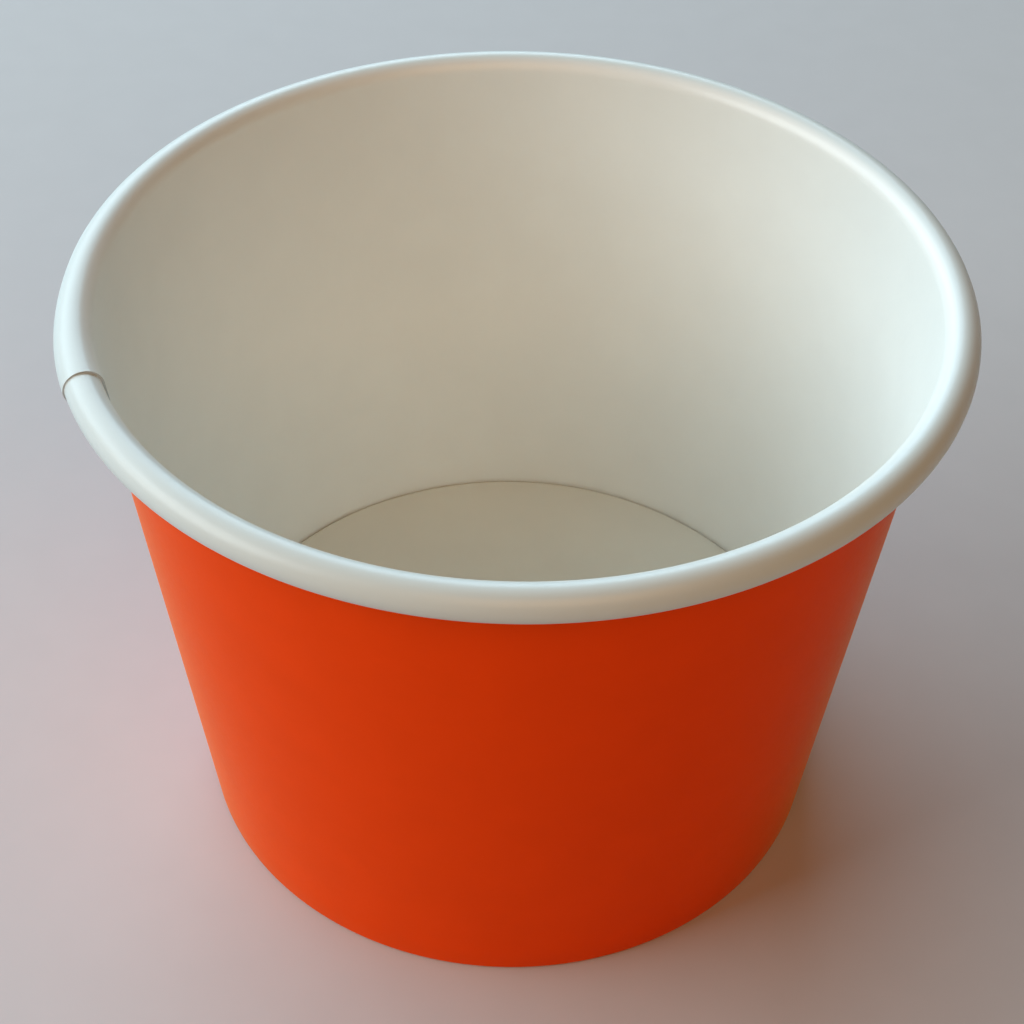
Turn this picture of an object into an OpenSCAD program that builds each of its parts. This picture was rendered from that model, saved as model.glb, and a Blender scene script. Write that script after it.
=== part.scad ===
// Paper food tub: one printed board sheet wrapped into a cone with a lapped side seam,
// a rolled rim and a folded hem, closed by a recessed board disc.
// Millimetres, +Z up. The origin is on the table, on the axis of the tub.

/* [Body] */
// Outside diameter of the rolled rim
rim_d = 98; // [88:0.5:110]
// Outside diameter of the wall where it meets the table
base_d = 76; // [64:0.5:84]
// Height from the table to the top of the rim
height = 71.5; // [45:0.5:110]

/* [Board] */
// Thickness of the side wall board
board = 0.35; // [0.25:0.01:0.5]
// Thickness of the bottom board
disc_board = 0.3; // [0.2:0.01:0.45]

/* [Rolled rim] */
// Outside diameter of the roll
curl_d = 3.9; // [3.2:0.1:5]
// Half turns of board in the roll
curl_half_turns = 3; // [2:1:3]
// Gap between neighbouring turns of the roll
curl_gap = 0.1; // [0.05:0.01:0.2]

/* [Side seam] */
// Direction of the inner ply's cut edge, anticlockwise from +X
seam_angle = 202.5; // [0:0.5:359.5]
// Width of the overlap, measured round the rim
lap_w = 14; // [6:0.5:18]
// Depth by which the two plies are pressed into each other
lap_press = 0.05; // [0.02:0.01:0.1]

/* [Base] */
// Height of the floor's upper face above the table
floor_h = 8.5; // [5:0.25:14]
// Distance from the floor's upper face down to the hem's cut edge
hem_drop = 2.5; // [1.8:0.1:3]
// Outside radius of the bend between the floor and its skirt
disc_bend_r = 0.9; // [0.6:0.05:1.4]
// Glue line between the skirt and the wall
glue_gap = 0.05; // [0.02:0.01:0.1]
// Depth by which the fold of the hem is pressed flat on the table
base_press = 0.1; // [0.05:0.01:0.2]

/* [Hidden] */
$fn = 144;

// Outward step from one ply to the next in the lap, and the shift of axis that spreads it over half a turn
lap_step = board - lap_press;
half_step = lap_step / 2;
lap_angle = lap_w / (rim_d / 2) * 180 / PI;
seam_dir = [cos(seam_angle), sin(seam_angle)];

// Slot of the hem, which takes the skirt all the way round the stepped wall
slot = disc_board + 2 * glue_gap + lap_step;
fold_r = slot / 2 + board;

// Lean of the wall: its outer face meets the table at base_d and runs into the roll
curl_r = curl_d / 2;
curl_c = [rim_d / 2 - curl_r, height - curl_r];
base_to_curl = curl_c - [base_d / 2, 0];
lean = atan2(base_to_curl.x, base_to_curl.y) - asin((curl_r - board) / norm(base_to_curl));
wall_dir = [sin(lean), cos(lean)];

// Centre of the fold under the wall, and lengths along the wall from there
fold_z = fold_r - base_press;
fold_c = [base_d / 2 + fold_z * tan(lean) - fold_r / cos(lean), fold_z];
wall_len = (curl_c - fold_c) * wall_dir;
hem_len = (floor_h - hem_drop - fold_z) / cos(lean);

// Skirt of the disc: outer face across the slot, and the centre of the bend above it
skirt_x = slot / 2 - glue_gap;
bend_z = floor_h - disc_bend_r;
bend_c = [
    fold_c.x + (bend_z - fold_z) * tan(lean) + (skirt_x - disc_bend_r) / cos(lean),
    bend_z
];
skirt_len = (bend_c - fold_c) * wall_dir;

// Colours of the printed board and the bare board
print_colour = [0.85, 0.24, 0.06];
bare_colour = [0.88, 0.89, 0.84];

// Section frame of the sheet: X across the board, Y up along the leaning wall, zero at the roll's centre
module in_wall_frame() {
    translate(curl_c) rotate(-lean) children();
}

// Board bent through half a turn, bulging up
module half_ring(outer_r, thick) {
    difference() {
        circle(outer_r);
        circle(outer_r - thick);
        translate([-2 * outer_r, -2 * outer_r]) square([4 * outer_r, 2 * outer_r]);
    }
}

// Roll of half turns about two centres, so that each turn lies inside the one before
module roll() {
    pitch = (board + curl_gap) / 2;
    for (i = [0 : curl_half_turns - 1])
        translate([i % 2 * pitch, 0])
            rotate(i % 2 * 180)
                half_ring(curl_r - i * pitch, board);
}

// Inner ply in the lap: it wraps the outer ply's roll and tucks under against the wall
module lap_roll() {
    translate([lap_step, 0]) {
        half_ring(curl_r + lap_step, board);
        difference() {
            rotate(180) half_ring(curl_r + lap_step, board);
            translate([-3 * curl_r, -3 * curl_r]) square([2 * curl_r + board - lap_press, 3 * curl_r]);
        }
    }
}

// Straight wall between the roll and the fold
module wall_ply() {
    translate([-curl_r, -wall_len]) square([board, wall_len]);
}

// Hem: the fold under the wall and the edge turned up inside it
module hem() {
    translate([board - curl_r - fold_r, -wall_len]) {
        rotate(180) half_ring(fold_r, board);
        translate([-fold_r, 0]) square([board, hem_len]);
    }
}

// Outer half of the fold alone, where a second ply covers the first
module hem_outside() {
    intersection() {
        hem();
        translate([board - curl_r - fold_r, -wall_len - 2 * fold_r]) square(2 * fold_r);
    }
}

// Section of the sheet in its place, with the fold pressed flat on the table
module sheet_section() {
    difference() {
        in_wall_frame() children();
        translate([0, -fold_r]) square([rim_d, fold_r]);
    }
}

// One stretch of the sheet, swept anticlockwise from an angle, with its section pushed out
module stretch(from, sweep, out = 0) {
    rotate(from) rotate_extrude(angle = sweep) translate([out, 0]) sheet_section() children();
}

// Section of the sheet where it is one ply thick
module one_ply() {
    hem();
    wall_ply();
    roll();
}

// Sheet from the lap round the far side, then round the near side on a shifted axis, so that it comes
// back to the seam one step further out
module wrap() {
    stretch(seam_angle - 180, 180 - lap_angle) one_ply();
    translate(half_step * seam_dir) stretch(seam_angle, 180, half_step) one_ply();
}

// Lap: the sheet's first edge inside, and its last edge over it
module lap() {
    stretch(seam_angle - lap_angle, lap_angle) {
        hem();
        wall_ply();
        lap_roll();
    }
    stretch(seam_angle - lap_angle, lap_angle, lap_step) {
        hem_outside();
        wall_ply();
        roll();
    }
}

module sidewall() {
    color(print_colour) union() {
        wrap();
        lap();
    }
}

// Filled outline of the floor, its bend and its skirt, drawn in by an inset and filled past the bend
module floor_outline(inset, fill) {
    bend_r = disc_bend_r - inset;
    translate([0, bend_c.y - fill]) square([bend_c.x, bend_r + fill]);
    translate(bend_c) {
        circle(bend_r);
        rotate(-lean) translate([-fill, -skirt_len - fill]) square([bend_r + fill, skirt_len + fill]);
    }
}

// Floor disc with its skirt turned down into the slot of the hem
module bottom_disc() {
    color(bare_colour) rotate_extrude() difference() {
        floor_outline(0, 0);
        floor_outline(disc_board, 2 * disc_bend_r);
    }
}

sidewall();
bottom_disc();
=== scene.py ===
"""Paper food tub: a printed board sheet wrapped, rolled and hemmed, a floor disc, and a plain stage."""
import math
from types import SimpleNamespace

import bpy
from bpy.props import FloatProperty, FloatVectorProperty, PointerProperty
from mathutils import Matrix, Vector


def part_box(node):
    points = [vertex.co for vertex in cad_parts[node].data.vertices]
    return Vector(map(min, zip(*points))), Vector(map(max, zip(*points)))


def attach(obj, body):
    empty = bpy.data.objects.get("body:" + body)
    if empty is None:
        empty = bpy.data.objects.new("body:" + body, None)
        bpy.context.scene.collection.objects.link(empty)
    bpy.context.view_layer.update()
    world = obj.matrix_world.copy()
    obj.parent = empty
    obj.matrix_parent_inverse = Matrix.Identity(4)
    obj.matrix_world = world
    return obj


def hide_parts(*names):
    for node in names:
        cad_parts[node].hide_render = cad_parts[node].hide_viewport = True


bl_info = {
    "name": "Paper food tub",
    "version": (1, 0, 0),
    "blender": (4, 5, 0),
    "location": "3D View > Sidebar > Tub",
    "description": "Builds the side wall, floor disc and stage of a paper food tub around its frame",
    "category": "Add Mesh",
}

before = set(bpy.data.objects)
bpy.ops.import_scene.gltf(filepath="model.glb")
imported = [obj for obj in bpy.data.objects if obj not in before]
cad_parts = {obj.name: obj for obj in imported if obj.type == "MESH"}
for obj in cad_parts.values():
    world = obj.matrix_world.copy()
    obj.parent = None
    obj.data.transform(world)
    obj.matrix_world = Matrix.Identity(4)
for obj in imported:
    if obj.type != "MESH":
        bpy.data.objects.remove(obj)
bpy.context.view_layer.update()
DISC_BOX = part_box("bottom_disc")

MM = 0.001
UP = Vector((0, 0, 1))
ORIGIN = Vector((0, 0, 0))

# Steps along the section of the sheet: hem, fold, wall and each half turn of the roll
HEM_STEPS = 3
FOLD_STEPS = 12
WALL_STEPS = 20
ROLL_STEPS = 20

# Half turns of the roll, and those that the inner ply keeps in the lap
ROLL_HALF_TURNS = 3
LAP_HALF_TURNS = 2

# Steps round the tub: the lap, the far side, the near side, and where the roll swells and tucks in
LAP_STEPS = 16
FAR_STEPS = 160
NEAR_STEPS = 176
FADE_STEPS = 24
TUCK_STEPS = 4

# Steps of the floor disc: plate, bend and skirt, and round it
PLATE_STEPS = 24
BEND_STEPS = 8
SKIRT_STEPS = 4
DISC_STEPS = 180

SMOOTH_ANGLE = math.radians(35)
MERGE_GAP = 0.001 * MM
FIT_LIMIT = 0.4 * MM

# Distances from the axis between which the coated white of the wall turns into the painted shade of the
# roll
ROLL_SHADE_FADE = (45.6 * MM, 46.8 * MM)

# Noise of the board as scale and detail, the part of its range that is used, and the strength of the bump
PATCHES = (140, 4)
FIBRES = (1500, 6)
NOISE_SPAN = (0.3, 0.7)
BUMP_STRENGTH = 0.5

# Gloss of the print, nearly all from its thin coat and a yellowish sheen, and of the table
PRINT_GLOSS = {
    "Specular IOR Level": 0.005,
    "Coat Weight": 0.2,
    "Coat IOR": 1.15,
    "Coat Roughness": 0.2,
    "Sheen Weight": 0.4,
    "Sheen Roughness": 0.3,
    "Sheen Tint": (0.5, 0.5, 0.12, 1),
}
TABLE_GLOSS = {"Specular IOR Level": 0.1}

# Table, lamps as azimuth, elevation, width and height, and the viewer's camera
TABLE_SIZE = 2.0
LAMP_TARGET = Vector((0, 0, 0.04))
LAMP_DISTANCE = 1.2
WINDOW = (math.radians(123), math.radians(32), 1.9, 0.8)
SIDE = (math.radians(192), math.radians(30), 0.9, 0.8)
CEILING = (math.radians(282), math.radians(42), 0.9, 0.8)
CAMERA_PLACE = Vector((0, -174.29, 197.12)) * MM
CAMERA_PITCH = math.radians(42.511)
CAMERA_YAW = math.radians(-0.102)
CAMERA_ROLL = math.radians(1.171)
SENSOR_WIDTH = 36


class TubSizes(bpy.types.PropertyGroup):
    """Sizes of the tub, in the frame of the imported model"""

    rim_diameter: FloatProperty(
        name="Rim diameter",
        description="Outside diameter of the rolled rim",
        default=98 * MM, unit='LENGTH')
    base_diameter: FloatProperty(
        name="Base diameter",
        description="Outside diameter of the wall at the table",
        default=76 * MM, unit='LENGTH')
    height: FloatProperty(
        name="Height",
        description="From the table to the top of the rim",
        default=71.5 * MM, unit='LENGTH')
    board: FloatProperty(
        name="Wall board",
        description="Thickness of the side wall board",
        default=0.35 * MM, unit='LENGTH')
    disc_board: FloatProperty(
        name="Floor board",
        description="Thickness of the floor board",
        default=0.3 * MM, unit='LENGTH')
    roll_diameter: FloatProperty(
        name="Roll diameter",
        description="Outside diameter of the rolled edge",
        default=3.9 * MM, unit='LENGTH')
    roll_gap: FloatProperty(
        name="Roll gap",
        description="Gap between turns of the roll",
        default=0.1 * MM, unit='LENGTH')
    seam_azimuth: FloatProperty(
        name="Seam azimuth",
        description="Direction of the inner cut edge of the side seam",
        default=math.radians(202.5), subtype='ANGLE', unit='ROTATION')
    lap_width: FloatProperty(
        name="Lap width",
        description="Overlap of the side seam, round the rim",
        default=14 * MM, unit='LENGTH')
    lap_press: FloatProperty(
        name="Lap press",
        description="Depth by which the lapped plies press into each other",
        default=0.05 * MM, unit='LENGTH')
    seam_lift: FloatProperty(
        name="Seam lift",
        description="Growth of the rim's roll at the cut edge of the seam",
        default=0.23 * MM, unit='LENGTH')
    seam_step: FloatProperty(
        name="Seam step",
        description="Part of the cut edge that stands proud of the roll under it",
        default=0.24 * MM, unit='LENGTH')
    floor_height: FloatProperty(
        name="Floor height",
        description="Upper face of the floor above the table",
        default=DISC_BOX[1].z, unit='LENGTH')
    hem_drop: FloatProperty(
        name="Hem drop",
        description="From the floor's upper face down to the hem's cut edge",
        default=2.5 * MM, unit='LENGTH')
    bend_radius: FloatProperty(
        name="Bend radius",
        description="Outside radius of the bend from floor to skirt",
        default=0.9 * MM, unit='LENGTH')
    glue_gap: FloatProperty(
        name="Glue line",
        description="Gap between the skirt and the wall",
        default=0.05 * MM, unit='LENGTH')
    base_press: FloatProperty(
        name="Base press",
        description="Depth by which the hem is pressed flat on the table",
        default=0.1 * MM, unit='LENGTH')


class TubColours(bpy.types.PropertyGroup):
    """Colours of the board"""

    print_colour: FloatVectorProperty(
        name="Print",
        description="Ink on the outside of the wall",
        default=(0.97, 0.064, 0.002), subtype='COLOR', min=0, max=1)
    coated_colour: FloatVectorProperty(
        name="Coated board",
        description="White inside of the wall",
        default=(0.87, 0.875, 0.83), subtype='COLOR', min=0, max=1)
    # Darker, greener copy of the coated white, as painted shade of the rolled rim
    roll_shade_colour: FloatVectorProperty(
        name="Rolled rim",
        description="Coating stretched thin over the roll",
        default=(0.69, 0.74, 0.715), subtype='COLOR', min=0, max=1)
    # Raw fibre colour darkened and greyed as painted shade of the seam's step line
    cut_fibre_and_shade_colour: FloatVectorProperty(
        name="Cut edge",
        description="Raw fibre at the cut edges",
        default=(0.52, 0.57, 0.6), subtype='COLOR', min=0, max=1)
    floor_colour: FloatVectorProperty(
        name="Floor board",
        description="Board of the floor disc",
        default=(0.79, 0.79, 0.71), subtype='COLOR', min=0, max=1)


class TubStage(bpy.types.PropertyGroup):
    """Table, light and camera"""

    table_colour: FloatVectorProperty(
        name="Table",
        description="Pale table top",
        default=(0.57, 0.56, 0.56), subtype='COLOR', min=0, max=1)
    window_colour: FloatVectorProperty(
        name="Window light",
        description="Wide cool light from behind, on the left",
        default=(0.64, 0.86, 1.0), subtype='COLOR', min=0, max=1)
    window_power: FloatProperty(
        name="Window power",
        description="Power of the window light",
        default=18.5, unit='POWER')
    side_colour: FloatVectorProperty(
        name="Side light",
        description="Cool light from the left",
        default=(0.86, 0.96, 1.0), subtype='COLOR', min=0, max=1)
    side_power: FloatProperty(
        name="Side power",
        description="Power of the side light",
        default=9.4, unit='POWER')
    ceiling_colour: FloatVectorProperty(
        name="Ceiling light",
        description="Warm light from above the viewer",
        default=(1.0, 0.55, 0.22), subtype='COLOR', min=0, max=1)
    ceiling_power: FloatProperty(
        name="Ceiling power",
        description="Power of the ceiling light",
        default=4.6, unit='POWER')
    room_colour: FloatVectorProperty(
        name="Room light",
        description="Dim light of the room",
        default=(1.0, 0.96, 0.92), subtype='COLOR', min=0, max=1)
    room_strength: FloatProperty(
        name="Room strength",
        description="Strength of the room light",
        default=0.03)
    backdrop_strength: FloatProperty(
        name="Backdrop strength",
        description="How pale the room looks behind the table",
        default=0.5)
    lens: FloatProperty(
        name="Lens",
        description="Focal length of the camera",
        default=70.25, unit='CAMERA')


# Shape of the sheet

def shape_of(sizes):
    """Works out the places that the section of the sheet and the disc share, from the sizes"""
    shape = SimpleNamespace()
    shape.board = sizes.board
    shape.disc_board = sizes.disc_board
    shape.half_step = (sizes.board - sizes.lap_press) / 2
    shape.lap_angle = sizes.lap_width / (sizes.rim_diameter / 2)
    shape.seam = sizes.seam_azimuth
    shape.seam_lift = sizes.seam_lift
    shape.seam_step = sizes.seam_step
    slot = sizes.disc_board + 2 * sizes.glue_gap + 2 * shape.half_step

    shape.roll_r = sizes.roll_diameter / 2
    shape.roll_x = sizes.rim_diameter / 2 - shape.roll_r
    shape.roll_z = sizes.height - shape.roll_r
    shape.pitch = (sizes.board + sizes.roll_gap) / 2
    run = shape.roll_x - sizes.base_diameter / 2
    inset = math.asin((shape.roll_r - sizes.board) / math.hypot(run, shape.roll_z))
    shape.lean = math.atan2(run, shape.roll_z) - inset
    sine, cosine, slope = math.sin(shape.lean), math.cos(shape.lean), math.tan(shape.lean)

    shape.fold_r = slot / 2 + sizes.board
    shape.fold_z = shape.fold_r - sizes.base_press
    shape.fold_x = sizes.base_diameter / 2 + shape.fold_z * slope - shape.fold_r / cosine
    shape.wall_len = (shape.roll_x - shape.fold_x) * sine + (shape.roll_z - shape.fold_z) * cosine
    shape.hem_len = (sizes.floor_height - sizes.hem_drop - shape.fold_z) / cosine

    shape.floor_z = sizes.floor_height
    shape.bend_z = sizes.floor_height - sizes.bend_radius
    skirt_x = slot / 2 - sizes.glue_gap - sizes.bend_radius
    shape.bend_x = shape.fold_x + (shape.bend_z - shape.fold_z) * slope + skirt_x / cosine
    shape.skirt_len = (shape.bend_x - shape.fold_x) * sine + (shape.bend_z - shape.fold_z) * cosine
    return shape


def section_axes(lean, azimuth):
    """Outward direction at an azimuth, and the directions across the leaning board and up along it"""
    out = Vector((math.cos(azimuth), math.sin(azimuth), 0))
    across = out * math.cos(lean) - UP * math.sin(lean)
    along = out * math.sin(lean) + UP * math.cos(lean)
    return out, across, along


# Modelling by hand, with nothing else selected

def start_line(name, point):
    """Adds a plane, merges it to one vertex and moves that to the start of a section line"""
    bpy.ops.object.select_all(action='DESELECT')
    bpy.ops.mesh.primitive_plane_add(size=MM)
    piece = bpy.context.object
    piece.name = name
    piece.data.name = name
    bpy.ops.object.mode_set(mode='EDIT')
    bpy.ops.mesh.select_all(action='SELECT')
    bpy.ops.mesh.merge(type='CENTER')
    bpy.ops.transform.translate(value=point)
    return piece


def pull(vector, steps):
    """Extrudes what is selected along a vector, in equal steps"""
    for _ in range(steps):
        bpy.ops.mesh.extrude_region_move(TRANSFORM_OT_translate={"value": vector / steps})


def turn(angle, centre, axis, steps):
    """Spins what is selected about an axis; the operator counts its angle the other way"""
    bpy.ops.mesh.spin(steps=steps, angle=-angle, center=centre, axis=axis)


def select_where(piece, wanted):
    """Selects the vertices whose index or place the test wants, in edit mode"""
    bpy.ops.mesh.select_all(action='DESELECT')
    bpy.ops.object.mode_set(mode='OBJECT')
    for vertex in piece.data.vertices:
        vertex.select = wanted(vertex)
    bpy.ops.object.mode_set(mode='EDIT')


def face_outwards(piece, probe):
    """Recalculates the normals, and flips them if the face nearest to the probe looks away from it"""
    bpy.ops.mesh.select_all(action='SELECT')
    bpy.ops.mesh.normals_make_consistent(inside=False)
    bpy.ops.object.mode_set(mode='OBJECT')
    nearest = min(piece.data.polygons, key=lambda face: (face.center - probe).length)
    looks_away = nearest.normal.dot(probe - nearest.center) < 0
    bpy.ops.object.mode_set(mode='EDIT')
    if looks_away:
        bpy.ops.mesh.select_all(action='SELECT')
        bpy.ops.mesh.flip_normals()
    bpy.ops.object.mode_set(mode='OBJECT')


def thicken(piece, thickness, back_slot, edge_slot):
    """Gives a sheet its thickness about its middle, with its back and cut edges in other slots"""
    solidify = piece.modifiers.new("board", 'SOLIDIFY')
    solidify.thickness = thickness
    solidify.offset = 0
    solidify.use_even_offset = True
    solidify.material_offset = back_slot
    solidify.material_offset_rim = edge_slot
    bpy.ops.object.modifier_apply(modifier=solidify.name)


def seat_piece(piece, node):
    """Smooths a piece, tests that it fills the place of its node, and puts it there"""
    bpy.ops.object.shade_smooth_by_angle(angle=SMOOTH_ANGLE)
    points = [piece.matrix_world @ vertex.co for vertex in piece.data.vertices]
    for axis in range(3):
        places = [point[axis] for point in points]
        for reach, corner in zip((min(places), max(places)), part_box(node)):
            if abs(reach - corner[axis]) > FIT_LIMIT:
                raise RuntimeError(f"{piece.name} doesn't fill the place of {node} along axis {axis}")
    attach(piece, "root")
    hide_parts(node)


# Side wall

def draw_sheet(shape):
    """Draws the middle line of the sheet's section at the seam, and wraps it clockwise round the tub"""
    out, across, along = section_axes(shape.lean, shape.seam)
    bend_axis = across.cross(along)
    roll_centre = out * shape.roll_x + UP * shape.roll_z

    def at(x, y):
        return roll_centre + across * x + along * y

    wall_x = shape.board / 2 - shape.roll_r
    fold_mid = shape.fold_r - shape.board / 2
    sheet = start_line("tub_wall", at(wall_x - 2 * fold_mid, shape.hem_len - shape.wall_len))
    pull(-along * shape.hem_len, HEM_STEPS)
    turn(math.pi, at(wall_x - fold_mid, -shape.wall_len), bend_axis, FOLD_STEPS)
    pull(along * shape.wall_len, WALL_STEPS)
    for half_turn in range(ROLL_HALF_TURNS):
        turn(-math.pi, at(half_turn % 2 * shape.pitch, 0), bend_axis, ROLL_STEPS)

    bpy.ops.mesh.select_all(action='SELECT')
    near_centre = out * shape.half_step
    turn(-shape.lap_angle, ORIGIN, UP, LAP_STEPS)
    turn(shape.lap_angle - math.pi, ORIGIN, UP, FAR_STEPS)
    turn(-math.pi, near_centre, UP, NEAR_STEPS)
    turn(-shape.lap_angle, ORIGIN, UP, LAP_STEPS)
    return sheet


def ease(share):
    """Smooth step from 0 to 1"""
    share = min(max(share, 0), 1)
    return share * share * (3 - 2 * share)


def shape_lap(sheet, shape):
    """Grows the roll of the sheet's first edge over the tightened roll of its last edge

    What the lap hides is cut away: the inmost half turn of the first edge's roll, and the last edge's hem.
    """
    fold_low = HEM_STEPS + FOLD_STEPS // 2
    roll_start = HEM_STEPS + FOLD_STEPS + WALL_STEPS
    per_ring = roll_start + ROLL_HALF_TURNS * ROLL_STEPS + 1
    last_kept = roll_start + LAP_HALF_TURNS * ROLL_STEPS - 1
    last_ring = LAP_STEPS + FAR_STEPS + NEAR_STEPS + LAP_STEPS
    roll_mid = shape.roll_r - shape.board / 2

    def growth_of(ring):
        return shape.seam_lift * (1 - ease(ring / FADE_STEPS))

    def scale_roll(ring, growth):
        places = range(ring * per_ring + roll_start, (ring + 1) * per_ring)
        start = sheet.data.vertices[places[0]].co.copy()
        for place in places:
            vertex = sheet.data.vertices[place]
            vertex.co = start + (vertex.co - start) * (1 + growth / roll_mid)

    def hidden_in_lap(vertex):
        ring, place = divmod(vertex.index, per_ring)
        inside_roll = ring < LAP_STEPS and place > last_kept
        inside_hem = ring > last_ring - LAP_STEPS and place < fold_low
        return inside_roll or inside_hem

    bpy.ops.object.mode_set(mode='OBJECT')
    for ring in range(FADE_STEPS):
        scale_roll(ring, growth_of(ring))
    for ring in range(LAP_STEPS + TUCK_STEPS):
        tucked = 1 - ease((ring - LAP_STEPS) / TUCK_STEPS)
        covering = growth_of(max(LAP_STEPS - ring, 0))
        scale_roll(last_ring - ring, tucked * (covering - shape.seam_step))
    bpy.ops.object.mode_set(mode='EDIT')
    select_where(sheet, hidden_in_lap)
    bpy.ops.mesh.delete(type='VERT')


def press_base(piece):
    """Flattens what reaches below the table"""
    bpy.ops.object.mode_set(mode='EDIT')
    select_where(piece, lambda vertex: vertex.co.z < 0)
    bpy.ops.transform.resize(value=(1, 1, 0), center_override=ORIGIN)
    bpy.ops.object.mode_set(mode='OBJECT')


def build_side_wall(sizes, colours):
    """Makes the wrapped, rolled and hemmed sheet"""
    shape = shape_of(sizes)
    sheet = draw_sheet(shape)
    shape_lap(sheet, shape)
    out = section_axes(shape.lean, shape.seam + math.pi)[0]
    face_outwards(sheet, out * sizes.rim_diameter + UP * sizes.height / 2)
    for finish in (printed_finish(colours), coated_finish(colours), cut_finish(colours)):
        sheet.data.materials.append(finish)
    thicken(sheet, shape.board, back_slot=1, edge_slot=2)
    press_base(sheet)
    seat_piece(sheet, "sidewall")


# Floor disc

def build_floor_disc(sizes, colours):
    """Makes the floor with its skirt turned down"""
    shape = shape_of(sizes)
    out, across, along = section_axes(shape.lean, 0)
    bend_axis = across.cross(along)
    disc = start_line("floor_disc", UP * (shape.floor_z - shape.disc_board / 2))
    pull(out * shape.bend_x, PLATE_STEPS)
    turn(-math.pi / 2 - shape.lean, out * shape.bend_x + UP * shape.bend_z, bend_axis, BEND_STEPS)
    pull(-along * shape.skirt_len, SKIRT_STEPS)
    bpy.ops.mesh.select_all(action='SELECT')
    turn(2 * math.pi, ORIGIN, UP, DISC_STEPS)
    bpy.ops.mesh.select_all(action='SELECT')
    bpy.ops.mesh.remove_doubles(threshold=MERGE_GAP)
    face_outwards(disc, UP * sizes.height)
    for finish in (floor_finish(colours), cut_finish(colours)):
        disc.data.materials.append(finish)
    thicken(disc, shape.disc_board, back_slot=0, edge_slot=1)
    seat_piece(disc, "bottom_disc")


# Finishes

def new_finish(name):
    """Adds a material, or empties the one of that name, and returns it with its tree and shader"""
    finish = bpy.data.materials.get(name) or bpy.data.materials.new(name)
    finish.use_nodes = True
    tree = finish.node_tree
    tree.nodes.clear()
    output = tree.nodes.new("ShaderNodeOutputMaterial")
    shader = tree.nodes.new("ShaderNodeBsdfPrincipled")
    tree.links.new(shader.outputs["BSDF"], output.inputs["Surface"])
    return finish, tree, shader


def speckle(tree, scale, detail):
    """Noise over the object's own coordinates"""
    place = tree.nodes.new("ShaderNodeTexCoord")
    noise = tree.nodes.new("ShaderNodeTexNoise")
    noise.inputs["Scale"].default_value = scale
    noise.inputs["Detail"].default_value = detail
    tree.links.new(place.outputs["Object"], noise.inputs["Vector"])
    return noise.outputs["Fac"]


def spread(tree, value, low, high):
    """Maps a noise value onto a range"""
    node = tree.nodes.new("ShaderNodeMapRange")
    node.inputs["From Min"].default_value = NOISE_SPAN[0]
    node.inputs["From Max"].default_value = NOISE_SPAN[1]
    node.inputs["To Min"].default_value = low
    node.inputs["To Max"].default_value = high
    tree.links.new(value, node.inputs["Value"])
    return node.outputs["Result"]


def radius_share(tree, low, high):
    """Runs from 0 to 1 between two distances from the object's axis"""
    place = tree.nodes.new("ShaderNodeTexCoord")
    level = tree.nodes.new("ShaderNodeMapping")
    level.inputs["Scale"].default_value = (1, 1, 0)
    radius = tree.nodes.new("ShaderNodeVectorMath")
    radius.operation = 'LENGTH'
    share = tree.nodes.new("ShaderNodeMapRange")
    share.interpolation_type = 'SMOOTHSTEP'
    share.inputs["From Min"].default_value = low
    share.inputs["From Max"].default_value = high
    tree.links.new(place.outputs["Object"], level.inputs["Vector"])
    tree.links.new(level.outputs["Vector"], radius.inputs[0])
    tree.links.new(radius.outputs["Value"], share.inputs["Value"])
    return share.outputs["Result"]


def tint(tree, share, first, second):
    """Runs from one colour to another by a share; each is a colour or the output of a node"""
    node = tree.nodes.new("ShaderNodeMix")
    node.data_type = 'RGBA'
    for socket, colour in (("A", first), ("B", second)):
        if isinstance(colour, bpy.types.NodeSocket):
            tree.links.new(colour, node.inputs[socket])
        else:
            node.inputs[socket].default_value = (*colour, 1)
    tree.links.new(share, node.inputs["Factor"])
    return node.outputs["Result"]


def bump(tree, value, height):
    """Bump of a height in metres"""
    node = tree.nodes.new("ShaderNodeBump")
    node.inputs["Distance"].default_value = height
    node.inputs["Strength"].default_value = BUMP_STRENGTH
    tree.links.new(value, node.inputs["Height"])
    return node.outputs["Normal"]


def shaded(colour, share):
    """Colour made lighter or darker by a share"""
    return tuple(min(part * share, 1) for part in colour)


def board_finish(name, colour, mottle, roughness, fibre_height, roll_shade_colour=None, gloss=None):
    """Board with soft mottling, uneven gloss and fibres, and a painted shade colour out at the roll if one
    is given
    """
    finish, tree, shader = new_finish(name)
    patches = spread(tree, speckle(tree, *PATCHES), 0, 1)
    base = tint(tree, patches, shaded(colour, 1 - mottle), shaded(colour, 1 + mottle))
    if roll_shade_colour is not None:
        base = tint(tree, radius_share(tree, *ROLL_SHADE_FADE), base, roll_shade_colour)
    fibres = speckle(tree, *FIBRES)
    tree.links.new(base, shader.inputs["Base Color"])
    tree.links.new(spread(tree, fibres, *roughness), shader.inputs["Roughness"])
    tree.links.new(bump(tree, fibres, fibre_height), shader.inputs["Normal"])
    for socket, value in (gloss or {}).items():
        shader.inputs[socket].default_value = value
    return finish


def printed_finish(colours):
    """Orange ink under a thin coating"""
    return board_finish(
        "printed board", colours.print_colour,
        mottle=0.02, roughness=(0.36, 0.46), fibre_height=0.02 * MM, gloss=PRINT_GLOSS)


def coated_finish(colours):
    """White coated side of the wall board, with painted shade on the roll: darker and greener there"""
    return board_finish(
        "coated board", colours.coated_colour,
        mottle=0.012, roughness=(0.28, 0.38), fibre_height=0.02 * MM, roll_shade_colour=colours.roll_shade_colour)


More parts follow.
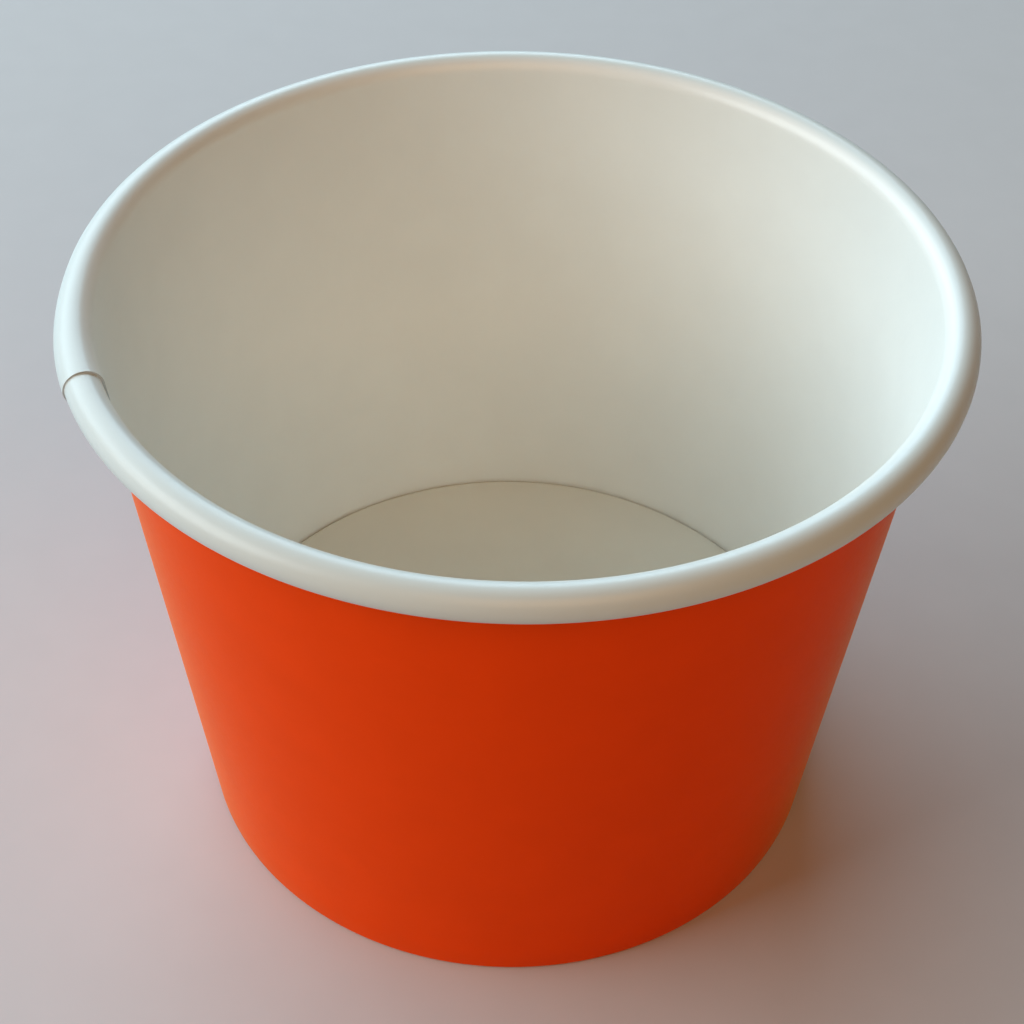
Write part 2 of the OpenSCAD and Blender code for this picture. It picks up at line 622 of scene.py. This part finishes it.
def cut_finish(colours):
    """Raw fibre of a cut edge, darkened and greyed as painted shade of the seam's step line"""
    return board_finish(
        "cut board", colours.cut_fibre_and_shade_colour,
        mottle=0.08, roughness=(0.8, 0.95), fibre_height=0.05 * MM)


def floor_finish(colours):
    """Uncoloured board of the floor"""
    return board_finish(
        "floor board", colours.floor_colour,
        mottle=0.015, roughness=(0.45, 0.58), fibre_height=0.02 * MM)


def table_finish(look):
    """Pale matt table top"""
    return board_finish(
        "table top", look.table_colour,
        mottle=0.01, roughness=(0.6, 0.7), fibre_height=0.01 * MM, gloss=TABLE_GLOSS)


# Stage

def add_table(look):
    """Adds the pale table top under the tub"""
    bpy.ops.object.select_all(action='DESELECT')
    bpy.ops.mesh.primitive_plane_add(size=TABLE_SIZE)
    table = bpy.context.object
    table.name = "table_top"
    table.data.materials.append(table_finish(look))


def add_lamp(name, place, colour, power):
    """Adds a soft rectangular lamp that looks at the tub from an azimuth and elevation"""
    azimuth, elevation, width, height = place
    level = Vector((math.cos(azimuth), math.sin(azimuth), 0))
    towards = level * math.cos(elevation) + UP * math.sin(elevation)
    bpy.ops.object.light_add(type='AREA', location=LAMP_TARGET + towards * LAMP_DISTANCE)
    lamp = bpy.context.object
    lamp.name = name
    lamp.rotation_euler = (-towards).to_track_quat('-Z', 'Y').to_euler()
    lamp.data.shape = 'RECTANGLE'
    lamp.data.size = width
    lamp.data.size_y = height
    lamp.data.color = colour
    lamp.data.energy = power


def light_room(look):
    """Sets a dim light from all sides, with a pale room where the camera or a reflection looks past it"""
    world = bpy.data.worlds.new("room light")
    bpy.context.scene.world = world
    world.use_nodes = True
    tree = world.node_tree
    background = tree.nodes["Background"]
    background.inputs["Color"].default_value = (*look.room_colour, 1)
    path = tree.nodes.new("ShaderNodeLightPath")
    seen = path.outputs["Is Camera Ray"]
    for ray in ("Is Glossy Ray", "Is Transmission Ray"):
        either = tree.nodes.new("ShaderNodeMath")
        either.operation = 'MAXIMUM'
        tree.links.new(seen, either.inputs[0])
        tree.links.new(path.outputs[ray], either.inputs[1])
        seen = either.outputs["Value"]
    strength = tree.nodes.new("ShaderNodeMapRange")
    strength.inputs["To Min"].default_value = look.room_strength
    strength.inputs["To Max"].default_value = look.backdrop_strength
    tree.links.new(seen, strength.inputs["Value"])
    tree.links.new(strength.outputs["Result"], background.inputs["Strength"])


def add_camera(look):
    """Places the camera where the viewer stands, from its pitch, yaw and roll"""
    bpy.ops.object.camera_add(location=CAMERA_PLACE)
    camera = bpy.context.object
    camera.name = "viewer"
    camera.data.lens = look.lens
    camera.data.sensor_width = SENSOR_WIDTH
    level = Vector((math.sin(CAMERA_YAW), math.cos(CAMERA_YAW), 0))
    ahead = level * math.cos(CAMERA_PITCH) - UP * math.sin(CAMERA_PITCH)
    right = level.cross(UP)
    above = right.cross(ahead)
    unrolled = Matrix((right, above, -ahead)).transposed()
    camera.rotation_euler = (unrolled @ Matrix.Rotation(CAMERA_ROLL, 3, 'Z')).to_euler()
    bpy.context.scene.camera = camera


def build_stage(look):
    """Adds the table, the light and the camera"""
    add_table(look)
    add_lamp("window_light", WINDOW, look.window_colour, look.window_power)
    add_lamp("side_light", SIDE, look.side_colour, look.side_power)
    add_lamp("ceiling_light", CEILING, look.ceiling_colour, look.ceiling_power)
    light_room(look)
    add_camera(look)
    bpy.context.scene.view_settings.view_transform = 'Standard'


# Add-on

class TUB_OT_side_wall(bpy.types.Operator):
    """Wrap, roll and hem the printed sheet of the side wall"""

    bl_idname = "tub.side_wall"
    bl_label = "Side wall"

    def execute(self, context):
        build_side_wall(context.scene.tub_sizes, context.scene.tub_colours)
        return {'FINISHED'}


class TUB_OT_floor_disc(bpy.types.Operator):
    """Turn the floor disc down into its skirt"""

    bl_idname = "tub.floor_disc"
    bl_label = "Floor disc"

    def execute(self, context):
        build_floor_disc(context.scene.tub_sizes, context.scene.tub_colours)
        return {'FINISHED'}


class TUB_OT_stage(bpy.types.Operator):
    """Add the table, the light and the camera"""

    bl_idname = "tub.stage"
    bl_label = "Stage"

    def execute(self, context):
        build_stage(context.scene.tub_stage)
        return {'FINISHED'}


class TUB_PT_panel(bpy.types.Panel):
    """Sizes, colours and steps of the tub"""

    bl_idname = "TUB_PT_panel"
    bl_label = "Paper food tub"
    bl_space_type = 'VIEW_3D'
    bl_region_type = 'UI'
    bl_category = "Tub"

    def draw(self, context):
        for name in GROUPS:
            box = self.layout.box()
            group = getattr(context.scene, name)
            for key in group.__annotations__:
                box.prop(group, key)
        for step in STEPS:
            self.layout.operator(step.bl_idname)


GROUPS = {"tub_sizes": TubSizes, "tub_colours": TubColours, "tub_stage": TubStage}
STEPS = (TUB_OT_side_wall, TUB_OT_floor_disc, TUB_OT_stage)


def register():
    for name, group in GROUPS.items():
        bpy.utils.register_class(group)
        setattr(bpy.types.Scene, name, PointerProperty(type=group))
    for step in (*STEPS, TUB_PT_panel):
        bpy.utils.register_class(step)


def unregister():
    for step in (TUB_PT_panel, *reversed(STEPS)):
        bpy.utils.unregister_class(step)
    for name, group in reversed(GROUPS.items()):
        delattr(bpy.types.Scene, name)
        bpy.utils.unregister_class(group)


def main():
    register()
    bpy.ops.tub.side_wall()
    bpy.ops.tub.floor_disc()
    bpy.ops.tub.stage()


if __name__ == "__main__":
    main()
